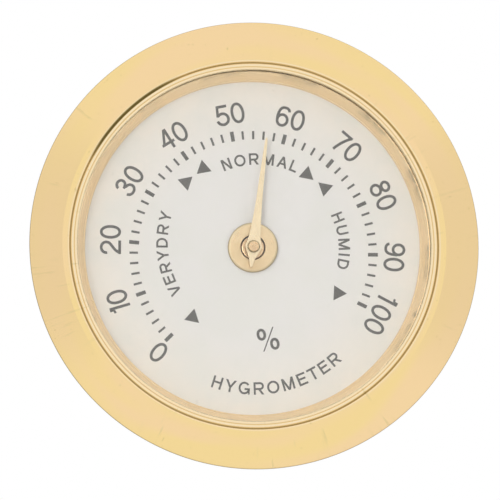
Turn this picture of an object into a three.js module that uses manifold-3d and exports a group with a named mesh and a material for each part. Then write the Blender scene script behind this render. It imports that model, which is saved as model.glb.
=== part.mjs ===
// Dial hygrometer: a round humidity gauge that pushes into a hole in a panel.
//
// Millimetres, +Z up. The shaft lies along Y and the dial faces -Y. The origin is the
// centre of the bezel flange's back face, which rests on the panel, so everything
// behind the panel has a positive y. Angles on the dial run clockwise from the top as
// seen from the front, which is also the positive turn about +Y.

import * as THREE from 'three';
import { mergeVertices } from 'three/addons/utils/BufferGeometryUtils.js';
import Module from 'manifold-3d';

const wasm = await Module();
wasm.setup();

// ---- Driving dimensions -------------------------------------------------------------

const RUNNING_GAP = 0.05; // radial clearance of nested and turning pieces
const SEAT_GAP = 0.05; // clearance between faces that rest on each other
const FINE_GAP = 0.02; // the same for the lens and the hub, which sit closer
const CUT_CLEAR = 1; // how far a cutting shape reaches past the faces it cuts

const FLANGE_R = 22.5; // visible bezel, 45 mm across
const FLANGE_THICK = 1.5;
const FLANGE_EDGE_R = 0.2; // rounding of the flange's front edge
const FLANGE_BACK_SLANT = 0.5; // the flange's edge slants in by this towards its back
const SHOULDER_R = 18.7; // where the flat flange drops into the groove
const APERTURE_R = 17.65; // clear opening of the bezel
const BEAD_STEP = 0.2; // from each bead to the next groove, across the bezel's lip
const BEAD_DEPTH = 0.12; // the two beads, below the flange's face
const GROOVE_DEPTH = 0.3; // the two grooves, below the flange's face
const NECK_R = 18.5; // the bezel's neck, which the case slides over
const NECK_BORE_R = 18.1;
const NECK_END = 4;
const RELIEF_R = 19.1; // the flange's back is relieved inside this, for the case's rim
const RELIEF_DEPTH = 0.25;

const LENS_R = 18;
const LENS_FRONT = -1.03;
const LENS_THICK = 0.8;

const INNER_RING_R = 18;
const INNER_RING_BACK = 1.25;
const INNER_RING_FRONT_BORE = 17.58; // the cone narrows from here
const INNER_RING_BACK_BORE = 16.75; // down to here, at the dial

const DIAL_R = 17.9;
const DIAL_FACE = 1.3;
const DIAL_THICK = 0.4;
const DIAL_HOLE_R = 1.8;

const PLATE_R = 13;
const PLATE_THICK = 0.6;

const EYELET_R = 2.5;
const EYELET_FRONT = 0.9;
const EYELET_TUBE_R = DIAL_HOLE_R - 0.1;
const EYELET_BORE_R = 1.25;
const EYELET_WASHER_R = 3;
const EYELET_WASHER_THICK = 0.35;
const EYELET_LIP_R = 2.2; // the tube's back end, rolled over the washer
const EYELET_LIP_THICK = 0.25;

const BEARING_RECESS = 0.15; // the front bearing sits this far inside the eyelet
const BEARING_NOSE_GAP = 0.1; // a dark ring shows between its nose and the eyelet
const BEARING_NOSE_LENGTH = 0.55;
const BEARING_TAIL = 0.5; // it stands out of the movement plate's back by this
const REAR_BEARING_LENGTH = 1.25;

const STAFF_R = 0.4;
const STAFF_END = 8.45;
const PIN_R = 0.6; // the thicker front end that carries the pointer
const PIN_FRONT = -0.05;
const PIN_BACK = 0.7;

const POINTER_FRONT = 0.25;
const POINTER_THICK = 0.15;
const POINTER_LENGTH = 11.1;
const POINTER_TAIL = 2.07;
const POINTER_REST_DEG = 6.8; // clockwise from the top, a reading of about 57 %

const COIL_TURNS = 5;
const COIL_INNER_R = 1.65;
const COIL_OUTER_R = 6.45;
const COIL_STRIP_THICK = 0.16;
const COIL_FRONT = 4.05;
const COIL_WIDTH = 3;
const COIL_STEPS_PER_TURN = 24;

const COLLET_R = 1.45;
const POST_R = 0.35;
const POST_AT = 6.95; // distance of the coil post from the shaft

const ARM_FRONT = 7.45;
const ARM_THICK = 0.4;
const ARM_WIDTH = 1.8;
const ARM_REACH = 7.85;
const ARM_RING_R = 2.5;

const BRIDGE_FRONT = 8.3;
const BRIDGE_THICK = 0.6;
const BRIDGE_END_R = 1.7;
const BRIDGE_MIDDLE_R = 3.2;
const PILLAR_AT = 9.5; // distance of each pillar from the shaft
const PILLAR_R = 1.3;
const PILLAR_STUB_R = 0.7;
const SCREW_R = 0.5;
const SCREW_HEAD_R = 1.1;
const SCREW_HEAD_THICK = 0.7;
const SCREW_LENGTH = 2.6;
const SCREW_HOLE_SPARE = 0.2; // the pillar's hole goes on past the screw's end
const SCREW_SLOT = 0.3;

const STUD_R = 1.5;
const STUD_FRONT = 7.15;
const STUD_COLLAR_R = 2.5;
const STUD_COLLAR_THICK = 0.6;
const STUD_HEAD_R = 2.2;
const STUD_BACK = 11.3;
const STUD_BORE_R = 0.9; // blind bore for the rear bearing
const STUD_BORE_END = 8.6;
const STUD_SLOT = 0.5;
const STUD_SLOT_DEPTH = 0.6;
const FRICTION_WASHER_R = 2.8;
const FRICTION_WASHER_THICK = 0.2;

const CASE_R = 19; // the 38 mm body that goes through the panel hole
const CASE_WALL = 0.4;
const CASE_FRONT = SEAT_GAP - RELIEF_DEPTH;
const CASE_BACK = 11.5;
const CASE_BACK_THICK = 0.5;
const CASE_CORNER_R = 0.8;
const CASE_HOLE_R = 2.6; // the way in to the adjuster's slot
const VENT_COUNT = 8;
const VENT_WIDTH = 1.4;
const VENT_FROM = 7.5;
const VENT_TO = 13.5;

const SPACER_R = 18;
const SPACER_BORE_R = 17;

const BIG = 60; // sides of the large rings
const MEDIUM = 36; // sides of the pieces around the shaft
const SMALL = 24; // sides of the thin shafts, pins and screws

// ---- Materials ----------------------------------------------------------------------

function metal(color, roughness) {
  return new THREE.MeshStandardMaterial({ color, roughness, metalness: 1 });
}

const POLISHED_GOLD = metal('#f1d595', 0.12);
const SATIN_GOLD = metal('#e6c988', 0.3);
const BRASS = metal('#cda95c', 0.3);
const PALE_BRASS = metal('#ecd6a4', 0.3);
const STEEL = metal('#b8b9bb', 0.35);
const COIL_METAL = metal('#b98d5a', 0.4);
const ALUMINIUM = metal('#c9cacc', 0.4);
const DIAL_PAINT = new THREE.MeshStandardMaterial({ color: '#e4dfd3', roughness: 0.6 });
const LENS_CLEAR = new THREE.MeshStandardMaterial({
  color: '#f6f8f6',
  roughness: 0.03,
  transparent: true,
  opacity: 0.15,
});

// ---- Solids -------------------------------------------------------------------------

// A three.js geometry as a manifold solid: shared corners merged, flat slivers dropped.
function solidOf(geometry) {
  geometry.deleteAttribute('normal');
  geometry.deleteAttribute('uv');
  const merged = mergeVertices(geometry, 1e-4);
  const corners = merged.index.array;
  const triVerts = [];
  for (let i = 0; i < corners.length; i += 3) {
    const [a, b, c] = corners.slice(i, i + 3);
    if (a !== b && b !== c && c !== a) triVerts.push(a, b, c);
  }
  return new wasm.Manifold(
    new wasm.Mesh({
      numProp: 3,
      vertProperties: Float32Array.from(merged.attributes.position.array),
      triVerts: Uint32Array.from(triVerts),
    }),
  );
}

function geometryOf(solid) {
  const { vertProperties, triVerts } = solid.getMesh();
  const geometry = new THREE.BufferGeometry();
  geometry.setAttribute('position', new THREE.BufferAttribute(vertProperties, 3));
  geometry.setIndex(new THREE.BufferAttribute(triVerts, 1));
  geometry.computeVertexNormals();
  return geometry;
}

// Turns [radius, y] points about the shaft. The points run counter-clockwise with the
// radius to the right and y upwards, so that the faces point out.
function turned(profile, sides) {
  const points = profile.map(([radius, y]) => new THREE.Vector2(radius, y));
  points.push(points[0].clone());
  return solidOf(new THREE.LatheGeometry(points, sides));
}

function tube(bore, radius, from, to, sides) {
  return turned([[bore, from], [radius, from], [radius, to], [bore, to]], sides);
}

function rod(radius, from, to, sides) {
  return tube(0, radius, from, to, sides);
}

// A flat outline in x and z, as seen from the front, between two depths.
function slab(shape, from, to, curveSegments = 12) {
  const geometry = new THREE.ExtrudeGeometry(shape, {
    depth: to - from,
    bevelEnabled: false,
    curveSegments,
  });
  geometry.rotateX(Math.PI / 2);
  geometry.translate(0, to, 0);
  return solidOf(geometry);
}

function outline(points) {
  return new THREE.Shape(points.map(([x, z]) => new THREE.Vector2(x, z)));
}

function disc(radius, x = 0, z = 0) {
  const shape = new THREE.Shape();
  shape.absarc(x, z, radius, 0, 2 * Math.PI, false);
  return shape;
}

// A bar along x with round ends, centred on x = 0.
function roundEndedBar(reach, halfWidth) {
  const shape = new THREE.Shape();
  shape.absarc(reach, 0, halfWidth, -Math.PI / 2, Math.PI / 2, false);
  shape.absarc(-reach, 0, halfWidth, Math.PI / 2, 1.5 * Math.PI, false);
  return shape;
}

// The cutting shape of a screwdriver slot across a head that ends at the depth `to`.
function driverSlot(width, headRadius, from, to) {
  const reach = headRadius + CUT_CLEAR;
  const halfWidth = width / 2;
  const corners = [
    [-reach, -halfWidth],
    [reach, -halfWidth],
    [reach, halfWidth],
    [-reach, halfWidth],
  ];
  return slab(outline(corners), from, to + CUT_CLEAR);
}

// ---- Bezel, lens, dial and case -----------------------------------------------------

function bezel() {
  const front = -FLANGE_THICK;
  const edgeFrom = FLANGE_R - FLANGE_EDGE_R;
  const slant = FLANGE_EDGE_R * (1 - Math.SQRT1_2);
  const lipBack = LENS_FRONT - FINE_GAP;
  const firstBead = APERTURE_R + 0.75 * BEAD_STEP;
  return turned(
    [
      [APERTURE_R, front + (BEAD_DEPTH + GROOVE_DEPTH) / 2],
      [firstBead, front + BEAD_DEPTH],
      [firstBead + BEAD_STEP, front + GROOVE_DEPTH],
      [firstBead + 2 * BEAD_STEP, front + BEAD_DEPTH],
      [firstBead + 3 * BEAD_STEP, front + GROOVE_DEPTH],
      [SHOULDER_R, front],
      [edgeFrom, front],
      [FLANGE_R - slant, front + slant],
      [FLANGE_R, front + FLANGE_EDGE_R],
      [FLANGE_R - FLANGE_BACK_SLANT, 0],
      [RELIEF_R, 0],
      [RELIEF_R, -RELIEF_DEPTH],
      [NECK_R, -RELIEF_DEPTH],
      [NECK_R, NECK_END],
      [NECK_BORE_R, NECK_END],
      [NECK_BORE_R, lipBack],
      [APERTURE_R, lipBack],
    ],
    BIG,
  );
}

function lens() {
  return rod(LENS_R, LENS_FRONT, LENS_FRONT + LENS_THICK, BIG);
}

function innerRing() {
  const front = LENS_FRONT + LENS_THICK + FINE_GAP;
  return turned(
    [
      [INNER_RING_FRONT_BORE, front],
      [INNER_RING_R, front],
      [INNER_RING_R, INNER_RING_BACK],
      [INNER_RING_BACK_BORE, INNER_RING_BACK],
    ],
    BIG,
  );
}

function dial() {
  return tube(DIAL_HOLE_R, DIAL_R, DIAL_FACE, DIAL_FACE + DIAL_THICK, BIG);
}

function spacerRing() {
  const from = DIAL_FACE + DIAL_THICK + SEAT_GAP;
  const to = CASE_BACK - CASE_BACK_THICK - SEAT_GAP;
  return tube(SPACER_BORE_R, SPACER_R, from, to, BIG);
}

function rearCase() {
  const inside = CASE_BACK - CASE_BACK_THICK;
  const corner = CASE_CORNER_R;
  const slant = corner * (1 - Math.SQRT1_2);
  const cup = turned(
    [
      [CASE_HOLE_R, inside],
      [CASE_R - CASE_WALL, inside],
      [CASE_R - CASE_WALL, CASE_FRONT],
      [CASE_R, CASE_FRONT],
      [CASE_R, CASE_BACK - corner],
      [CASE_R - slant, CASE_BACK - slant],
      [CASE_R - corner, CASE_BACK],
      [CASE_HOLE_R, CASE_BACK],
    ],
    BIG,
  );
  const reach = (VENT_TO - VENT_FROM - VENT_WIDTH) / 2;
  const through = [inside - CUT_CLEAR, CASE_BACK + CUT_CLEAR];
  const vent = slab(roundEndedBar(reach, VENT_WIDTH / 2), ...through, 8);
  const placed = vent.translate([(VENT_FROM + VENT_TO) / 2, 0, 0]);
  let shell = cup;
  for (let i = 0; i < VENT_COUNT; i += 1) {
    const turn = ((i + 0.5) * 360) / VENT_COUNT;
    shell = shell.subtract(placed.rotate([0, turn, 0]));
  }
  return shell;
}

// ---- Movement -----------------------------------------------------------------------

const PLATE_FRONT = DIAL_FACE + DIAL_THICK + SEAT_GAP;
const PLATE_BACK = PLATE_FRONT + PLATE_THICK;
const BRIDGE_BACK = BRIDGE_FRONT + BRIDGE_THICK;

function movementPlate() {
  const plate = tube(DIAL_HOLE_R, PLATE_R, PLATE_FRONT, PLATE_BACK, BIG);
  const through = [PLATE_FRONT - CUT_CLEAR, PLATE_BACK + CUT_CLEAR];
  const stubHole = rod(PILLAR_STUB_R + RUNNING_GAP, ...through, SMALL);
  return plate
    .subtract(stubHole.translate([PILLAR_AT, 0, 0]))
    .subtract(stubHole.translate([-PILLAR_AT, 0, 0]));
}

function hubEyelet() {
  const lipFrom = PLATE_BACK + EYELET_WASHER_THICK + 2 * SEAT_GAP;
  const flangeBack = DIAL_FACE - FINE_GAP;
  const edge = 0.1;
  return turned(
    [
      [EYELET_BORE_R, EYELET_FRONT],
      [EYELET_R - edge, EYELET_FRONT],
      [EYELET_R, EYELET_FRONT + edge],
      [EYELET_R, flangeBack],
      [EYELET_TUBE_R, flangeBack],
      [EYELET_TUBE_R, lipFrom],
      [EYELET_LIP_R, lipFrom],
      [EYELET_LIP_R, lipFrom + EYELET_LIP_THICK],
      [EYELET_BORE_R, lipFrom + EYELET_LIP_THICK],
    ],
    MEDIUM,
  );
}

function eyeletWasher() {
  const from = PLATE_BACK + SEAT_GAP;
  const bore = EYELET_TUBE_R + RUNNING_GAP;
  return tube(bore, EYELET_WASHER_R, from, from + EYELET_WASHER_THICK, MEDIUM);
}

function frontBearing() {
  const outer = EYELET_BORE_R - RUNNING_GAP;
  const nose = outer - BEARING_NOSE_GAP;
  const front = EYELET_FRONT + BEARING_RECESS;
  const noseBack = front + BEARING_NOSE_LENGTH;
  const bore = STAFF_R + RUNNING_GAP;
  const back = PLATE_BACK + BEARING_TAIL;
  return turned(
    [
      [bore, front],
      [nose, front],
      [nose, noseBack],
      [outer, noseBack],
      [outer, back],
      [bore, back],
    ],
    MEDIUM,
  );
}

function pillar(x) {
  const holeFrom = BRIDGE_FRONT - SCREW_LENGTH - SCREW_HOLE_SPARE;
  const body = turned(
    [
      [0, PLATE_FRONT],
      [PILLAR_STUB_R, PLATE_FRONT],
      [PILLAR_STUB_R, PLATE_BACK + SEAT_GAP],
      [PILLAR_R, PLATE_BACK + SEAT_GAP],
      [PILLAR_R, BRIDGE_FRONT - SEAT_GAP],
      [SCREW_R + RUNNING_GAP, BRIDGE_FRONT - SEAT_GAP],
      [SCREW_R + RUNNING_GAP, holeFrom],
      [0, holeFrom],
    ],
    SMALL,
  );
  return body.translate([x, 0, 0]);
}

function rearBridge() {
  const bar = slab(roundEndedBar(PILLAR_AT, BRIDGE_END_R), BRIDGE_FRONT, BRIDGE_BACK);
  const middle = slab(disc(BRIDGE_MIDDLE_R), BRIDGE_FRONT, BRIDGE_BACK, 18);
  const through = [BRIDGE_FRONT - CUT_CLEAR, BRIDGE_BACK + CUT_CLEAR];
  const studHole = rod(STUD_R + 2 * RUNNING_GAP, ...through, MEDIUM);
  const screwHole = rod(SCREW_R + 2 * RUNNING_GAP, ...through, SMALL);
  return bar
    .add(middle)
    .subtract(studHole)
    .subtract(screwHole.translate([PILLAR_AT, 0, 0]))
    .subtract(screwHole.translate([-PILLAR_AT, 0, 0]));
}

function bridgeScrew(x) {
  const headFrom = BRIDGE_BACK + SEAT_GAP;
  const headTo = headFrom + SCREW_HEAD_THICK;
  const body = turned(
    [
      [0, BRIDGE_FRONT - SCREW_LENGTH],
      [SCREW_R, BRIDGE_FRONT - SCREW_LENGTH],
      [SCREW_R, headFrom],
      [SCREW_HEAD_R, headFrom],
      [SCREW_HEAD_R, headTo],
      [0, headTo],
    ],
    SMALL,
  );
  const slot = driverSlot(SCREW_SLOT, SCREW_HEAD_R, headTo - SCREW_SLOT, headTo);
  return body.subtract(slot).translate([x, 0, 0]);
}

// ---- Adjuster, which holds the coil's outer end -------------------------------------

function adjusterStud() {
  const collarFrom = BRIDGE_BACK + FRICTION_WASHER_THICK + 2 * SEAT_GAP;
  const collarTo = collarFrom + STUD_COLLAR_THICK;
  const body = turned(
    [
      [0, STUD_BORE_END],
      [STUD_BORE_R, STUD_BORE_END],
      [STUD_BORE_R, STUD_FRONT],
      [STUD_R, STUD_FRONT],
      [STUD_R, collarFrom],
      [STUD_COLLAR_R, collarFrom],
      [STUD_COLLAR_R, collarTo],
      [STUD_HEAD_R, collarTo],
      [STUD_HEAD_R, STUD_BACK],
      [0, STUD_BACK],
    ],
    MEDIUM,
  );
  const slotFrom = STUD_BACK - STUD_SLOT_DEPTH;
  return body.subtract(driverSlot(STUD_SLOT, STUD_HEAD_R, slotFrom, STUD_BACK));
}

function frictionWasher() {
  const from = BRIDGE_BACK + SEAT_GAP;
  const bore = STUD_R + RUNNING_GAP;
  return tube(bore, FRICTION_WASHER_R, from, from + FRICTION_WASHER_THICK, MEDIUM);
}

function rearBearing() {
  const outer = STUD_BORE_R - RUNNING_GAP;
  const to = STUD_FRONT + REAR_BEARING_LENGTH;
  return tube(STAFF_R + RUNNING_GAP, outer, STUD_FRONT, to, SMALL);
}

// The arm hangs straight down at rest.
function adjusterArm() {
  const back = ARM_FRONT + ARM_THICK;
  const halfWidth = ARM_WIDTH / 2;
  const strip = new THREE.Shape();
  strip.moveTo(halfWidth, 0);
  strip.lineTo(-halfWidth, 0);
  strip.absarc(0, -ARM_REACH + halfWidth, halfWidth, Math.PI, 2 * Math.PI, false);
  const through = [ARM_FRONT - CUT_CLEAR, back + CUT_CLEAR];
  return slab(strip, ARM_FRONT, back)
    .add(rod(ARM_RING_R, ARM_FRONT, back, MEDIUM))
    .subtract(rod(STUD_R + RUNNING_GAP, ...through, MEDIUM))
    .subtract(rod(POST_R + RUNNING_GAP, ...through, SMALL).translate([0, 0, -POST_AT]));
}

function coilPost() {
  return rod(POST_R, COIL_FRONT, ARM_FRONT + ARM_THICK, SMALL).translate([0, 0, -POST_AT]);
}

// A flat strip wound into a spiral, from the collet out to the post below the shaft.
function humidityCoil() {
  const steps = COIL_TURNS * COIL_STEPS_PER_TURN;
  const edge = (offset) => {
    const points = [];
    for (let i = 0; i <= steps; i += 1) {
      const along = i / steps;
      const angle = Math.PI - (1 - along) * COIL_TURNS * 2 * Math.PI;
      const radius = THREE.MathUtils.lerp(COIL_INNER_R, COIL_OUTER_R, along) + offset;
      points.push([radius * Math.sin(angle), radius * Math.cos(angle)]);
    }
    return points;
  };
  const outer = edge(COIL_STRIP_THICK / 2);
  const inner = edge(-COIL_STRIP_THICK / 2);
  return slab(outline([...outer, ...inner.reverse()]), COIL_FRONT, COIL_FRONT + COIL_WIDTH);
}

// ---- Pointer and its staff ----------------------------------------------------------

function pointerStaff() {
  return turned(
    [
      [0, PIN_FRONT],
      [PIN_R, PIN_FRONT],
      [PIN_R, PIN_BACK],
      [STAFF_R, PIN_BACK],
      [STAFF_R, STAFF_END],
      [0, STAFF_END],
    ],
    SMALL,
  );
}

function coilCollet() {
  const inset = 0.15;
  const from = COIL_FRONT + inset;
  const to = COIL_FRONT + COIL_WIDTH - inset;
  return tube(STAFF_R + RUNNING_GAP, COLLET_R, from, to, SMALL);
}

// Half widths of the pointer at heights above the pin: a diamond boss, then a long taper.
function pointer() {
  const side = [
    [0, -POINTER_TAIL],
    [0.13, -1.9],
    [0.31, -1.25],
    [0.86, 0],
    [0.6, 0.95],
    [0.4, 3],
    [0.25, 4.8],
    [0.075, POINTER_LENGTH - 0.2],
    [0, POINTER_LENGTH],
  ];
  const mirrored = side.slice(1, -1).reverse().map(([x, z]) => [-x, z]);
  const back = POINTER_FRONT + POINTER_THICK;
  const through = [POINTER_FRONT - CUT_CLEAR, back + CUT_CLEAR];
  const hole = rod(PIN_R + RUNNING_GAP, ...through, SMALL);
  return slab(outline([...side, ...mirrored]), POINTER_FRONT, back)
    .subtract(hole)
    .rotate([0, POINTER_REST_DEG, 0]);
}

// ---- Assembly -----------------------------------------------------------------------

const hygrometer = new THREE.Group();

function addPiece(name, solid, material) {
  const mesh = new THREE.Mesh(geometryOf(solid), material);
  mesh.name = name;
  hygrometer.add(mesh);
}

addPiece('bezel', bezel(), POLISHED_GOLD);
addPiece('lens', lens(), LENS_CLEAR);
addPiece('inner_ring', innerRing(), SATIN_GOLD);
addPiece('dial', dial(), DIAL_PAINT);
addPiece('spacer_ring', spacerRing(), ALUMINIUM);
addPiece('rear_case', rearCase(), SATIN_GOLD);

addPiece('movement_plate', movementPlate(), STEEL);
addPiece('hub_eyelet', hubEyelet(), BRASS);
addPiece('eyelet_washer', eyeletWasher(), STEEL);
addPiece('front_bearing', frontBearing(), BRASS);
addPiece('bridge_pillar_left', pillar(-PILLAR_AT), BRASS);
addPiece('bridge_pillar_right', pillar(PILLAR_AT), BRASS);
addPiece('rear_bridge', rearBridge(), STEEL);
addPiece('bridge_screw_left', bridgeScrew(-PILLAR_AT), STEEL);
addPiece('bridge_screw_right', bridgeScrew(PILLAR_AT), STEEL);

addPiece('adjuster_stud', adjusterStud(), BRASS);
addPiece('friction_washer', frictionWasher(), STEEL);
addPiece('adjuster_arm', adjusterArm(), STEEL);
addPiece('coil_post', coilPost(), BRASS);
addPiece('rear_bearing', rearBearing(), BRASS);
addPiece('humidity_coil', humidityCoil(), COIL_METAL);

addPiece('pointer_staff', pointerStaff(), STEEL);
addPiece('coil_collet', coilCollet(), BRASS);
addPiece('pointer', pointer(), PALE_BRASS);

export default hygrometer;
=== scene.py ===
# Dial hygrometer: the visible pieces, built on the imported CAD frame.
#
# Lengths in this file are millimetres unless a name ends in _M. The dial faces -Y and its
# top is +Z. Angles on the dial run clockwise from the top as seen from the front.

import math

import bmesh
import bpy
from mathutils import Matrix, Vector
from mathutils.geometry import delaunay_2d_cdt


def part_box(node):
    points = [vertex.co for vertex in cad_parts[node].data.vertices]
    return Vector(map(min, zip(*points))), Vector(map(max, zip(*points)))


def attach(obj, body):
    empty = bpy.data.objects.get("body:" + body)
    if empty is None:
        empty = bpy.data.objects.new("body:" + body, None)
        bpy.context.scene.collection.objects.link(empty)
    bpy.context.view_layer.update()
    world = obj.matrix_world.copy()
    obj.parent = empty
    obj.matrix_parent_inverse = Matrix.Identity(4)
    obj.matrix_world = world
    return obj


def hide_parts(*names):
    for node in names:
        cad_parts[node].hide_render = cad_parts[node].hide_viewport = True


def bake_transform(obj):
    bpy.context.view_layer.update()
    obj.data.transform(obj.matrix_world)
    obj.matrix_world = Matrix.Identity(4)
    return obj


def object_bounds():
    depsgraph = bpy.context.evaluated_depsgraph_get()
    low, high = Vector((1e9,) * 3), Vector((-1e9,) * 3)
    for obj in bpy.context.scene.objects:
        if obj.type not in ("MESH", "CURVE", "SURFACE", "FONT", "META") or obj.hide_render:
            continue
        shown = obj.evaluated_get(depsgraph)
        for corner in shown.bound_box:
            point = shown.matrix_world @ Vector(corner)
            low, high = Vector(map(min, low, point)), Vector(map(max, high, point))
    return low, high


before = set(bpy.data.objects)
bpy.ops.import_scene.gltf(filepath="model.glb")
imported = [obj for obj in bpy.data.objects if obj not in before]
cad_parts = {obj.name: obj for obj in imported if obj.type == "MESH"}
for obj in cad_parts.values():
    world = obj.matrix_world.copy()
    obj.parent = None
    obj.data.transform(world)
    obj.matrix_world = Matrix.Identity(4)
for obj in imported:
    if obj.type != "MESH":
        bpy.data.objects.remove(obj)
CAD_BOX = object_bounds()

MM = 0.001  # one millimetre in metres

# ---- Camera and light ----------------------------------------------------------------

CAMERA_AZIMUTH = -5.1
CAMERA_ELEVATION = -7.9
CAMERA_DISTANCE_M = 0.5
CAMERA_SENSOR = 36
FRAME_WIDTH = 49.72  # what the picture is wide at the bezel
AIM_RIGHT = 0.495  # the bezel's centre stands this far off the picture's middle
AIM_UP = 0.56

# name, place in metres, width in metres, watts
LIGHTS = [
    ("key", (-0.24, -0.6, 0.02), 0.36, 1.0),
    ("fill", (0.3, -0.55, 0.4), 0.5, 0.15),
    ("rear", (0.1, 0.7, 1.0), 0.8, 14.0),
]

FLANGE_GLANCE = (0.07, -0.985, 0.15)  # where the flange looks in the camera's view
DARK_PANEL = (-0.17, 0.984, -0.045)  # a small dark thing behind, low and left

FLOOR_DROP_M = 0.16
FLOOR_RADIUS_M = 1.2

# ---- Sizes that the CAD boxes don't give ---------------------------------------------

ROUND_STEPS = 288  # sides of the large turned pieces
HUB_STEPS = 144
DISC_STEPS = 96
SMALL_STEPS = 72  # sides of the pieces around the shaft
PIN_STEPS = 48
TINY_STEPS = 40

WELD_M = 1e-8  # points closer than this are one point
FLAT_WELD = 1e-5

LIP_R = 17.65
NECK_R = 18.5
NECK_BORE_R = 18.1
SHOULDER_R = 18.7
FLANGE_FROM_R = 19.15  # where the flange's flat face begins
BEAD_TOP = 0.12  # below the flange's face
GROOVE_FLOOR = 0.32
FLANGE_EDGE = 0.18
BACK_SLANT = 0.5  # the flange's edge slants in by this towards its back

DIAL_HOLE_R = 1.8
SHAFT_BORE_R = 0.45
INK_THICK = 0.012
PRINT_TURN = -10.2  # the dial's print is turned this much about the shaft
PRINT_RIGHT = 0.085
PRINT_UP = -0.59

POINTER_REST = 6.8  # clockwise from the top
# Half widths of the blade at heights above the pin.
POINTER_SIDE = [
    (0.0, -2.07), (0.06, -2.06), (0.105, -2.02), (0.13, -1.95), (0.165, -1.8),
    (0.235, -1.5), (0.31, -1.22), (0.42, -0.98), (0.86, 0.0), (0.73, 0.4),
    (0.6, 0.95), (0.49, 2.0), (0.41, 3.0), (0.35, 4.0), (0.31, 4.8),
    (0.26, 6.5), (0.19, 9.0), (0.12, 10.9), (0.06, 11.06), (0.0, 11.1),
]

BRIDGE_SCREW_AT = 9.5
PLATE_HOLE_R = 0.75

VENT_COUNT = 8
VENT_WIDTH = 1.4
VENT_FROM = 7.5
VENT_TO = 13.5

COIL_TURNS = 5
COIL_INNER_R = 1.65
COIL_OUTER_R = 6.45
COIL_STRIP_THICK = 0.16
COIL_STEPS_PER_TURN = 72


def extent(node):
    """Lowest and highest corner of a CAD node."""
    low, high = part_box(node)
    return low / MM, high / MM


def turned_size(node):
    """Front, back and outer radius of a CAD node that is turned about the shaft."""
    low, high = extent(node)
    return low.y, high.y, (high.x - low.x) / 2


# ---- Mesh helpers --------------------------------------------------------------------


def polar(angle, radius):
    """x and z of a point at a dial angle in degrees."""
    turn = math.radians(angle)
    return radius * math.sin(turn), radius * math.cos(turn)


def new_object(name, data):
    obj = bpy.data.objects.new(name, data)
    bpy.context.scene.collection.objects.link(obj)
    return obj


def shade(mesh, sharp=30):
    """Smooth shading, with the edges above an angle in degrees kept sharp."""
    mesh.polygons.foreach_set("use_smooth", [True] * len(mesh.polygons))
    mesh.set_sharp_from_angle(angle=math.radians(sharp))
    mesh.update()


def object_from(name, verts, faces, sharp=30):
    """An object from vertices in millimetres, with outward faces and smooth shading."""
    mesh = bpy.data.meshes.new(name)
    mesh.from_pydata([[c * MM for c in v] for v in verts], [], faces)
    work = bmesh.new()
    work.from_mesh(mesh)
    bmesh.ops.remove_doubles(work, verts=work.verts, dist=WELD_M)
    bmesh.ops.recalc_face_normals(work, faces=work.faces)
    work.to_mesh(mesh)
    work.free()
    shade(mesh, sharp)
    return new_object(name, mesh)


def bake_modifiers(obj):
    """Applies an object's modifiers to its mesh."""
    bpy.context.view_layer.update()
    graph = bpy.context.evaluated_depsgraph_get()
    mesh = bpy.data.meshes.new_from_object(obj.evaluated_get(graph))
    obj.modifiers.clear()
    obj.data = mesh
    shade(mesh)
    return obj


def bevel(obj, width, segments=3, limit=35):
    modifier = obj.modifiers.new("edges", "BEVEL")
    modifier.width = width * MM
    modifier.segments = segments
    modifier.limit_method = "ANGLE"
    modifier.angle_limit = math.radians(limit)
    return bake_modifiers(obj)


def cut(obj, tools):
    """Takes the tool objects away from obj."""
    for tool in tools:
        modifier = obj.modifiers.new("cut", "BOOLEAN")
        modifier.operation = "DIFFERENCE"
        modifier.solver = "EXACT"
        modifier.object = tool
    bake_modifiers(obj)
    for tool in tools:
        bpy.data.objects.remove(tool)
    return obj


def fillet_arc(here, before, after, fillet, steps):
    """Points of the arc that rounds the corner between two directions."""
    half = before.angle(after) / 2
    reach = fillet / math.tan(half)
    centre = here + (before + after).normalized() * (fillet / math.sin(half))
    first = here + before * reach - centre
    last = here + after * reach - centre
    sweep = first.angle_signed(last)
    arc = []
    for k in range(steps + 1):
        turn = -sweep * k / steps
        c, s = math.cos(turn), math.sin(turn)
        arc.append(centre + Vector((first.x * c - first.y * s, first.x * s + first.y * c)))
    return arc


def rounded(corners, steps=6, support=0.035):
    """Rounds a closed profile of (radius, y, fillet) corners, and keeps flats flat with a
    support point close to each end of every straight side."""
    count = len(corners)
    arcs = []
    for i, (r, y, fillet) in enumerate(corners):
        here = Vector((r, y))
        before = Vector(corners[i - 1][:2]) - here
        after = Vector(corners[(i + 1) % count][:2]) - here
        if fillet > 0:
            arcs.append(fillet_arc(here, before.normalized(), after.normalized(), fillet, steps))
        else:
            arcs.append([here])
    points = []
    for i, arc in enumerate(arcs):
        points.extend(arc)
        start, end = arc[-1], arcs[(i + 1) % count][0]
        side = end - start
        if side.length > 4 * support:
            step = side.normalized() * support
            points += [start + step, end - step]
    return [(p.x, p.y) for p in points]


def lathe(name, profile, steps=ROUND_STEPS, x=0.0, z=0.0, sharp=30):
    """Turns a closed profile of (radius, y) points about the line through x, z."""
    verts, rings = [], []
    for radius, y in profile:
        if radius == 0:
            rings.append([len(verts)] * steps)
            verts.append((x, y, z))
            continue
        rings.append(list(range(len(verts), len(verts) + steps)))
        for k in range(steps):
            dx, dz = polar(360 * k / steps, radius)
            verts.append((x + dx, y, z + dz))
    faces = []
    for i, ring in enumerate(rings):
        other = rings[(i + 1) % len(rings)]
        for k in range(steps):
            m = (k + 1) % steps
            corners = [ring[k], ring[m], other[m], other[k]]
            face = list(dict.fromkeys(corners))
            if len(face) > 2:
                faces.append(face)
    return object_from(name, verts, faces, sharp)


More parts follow.
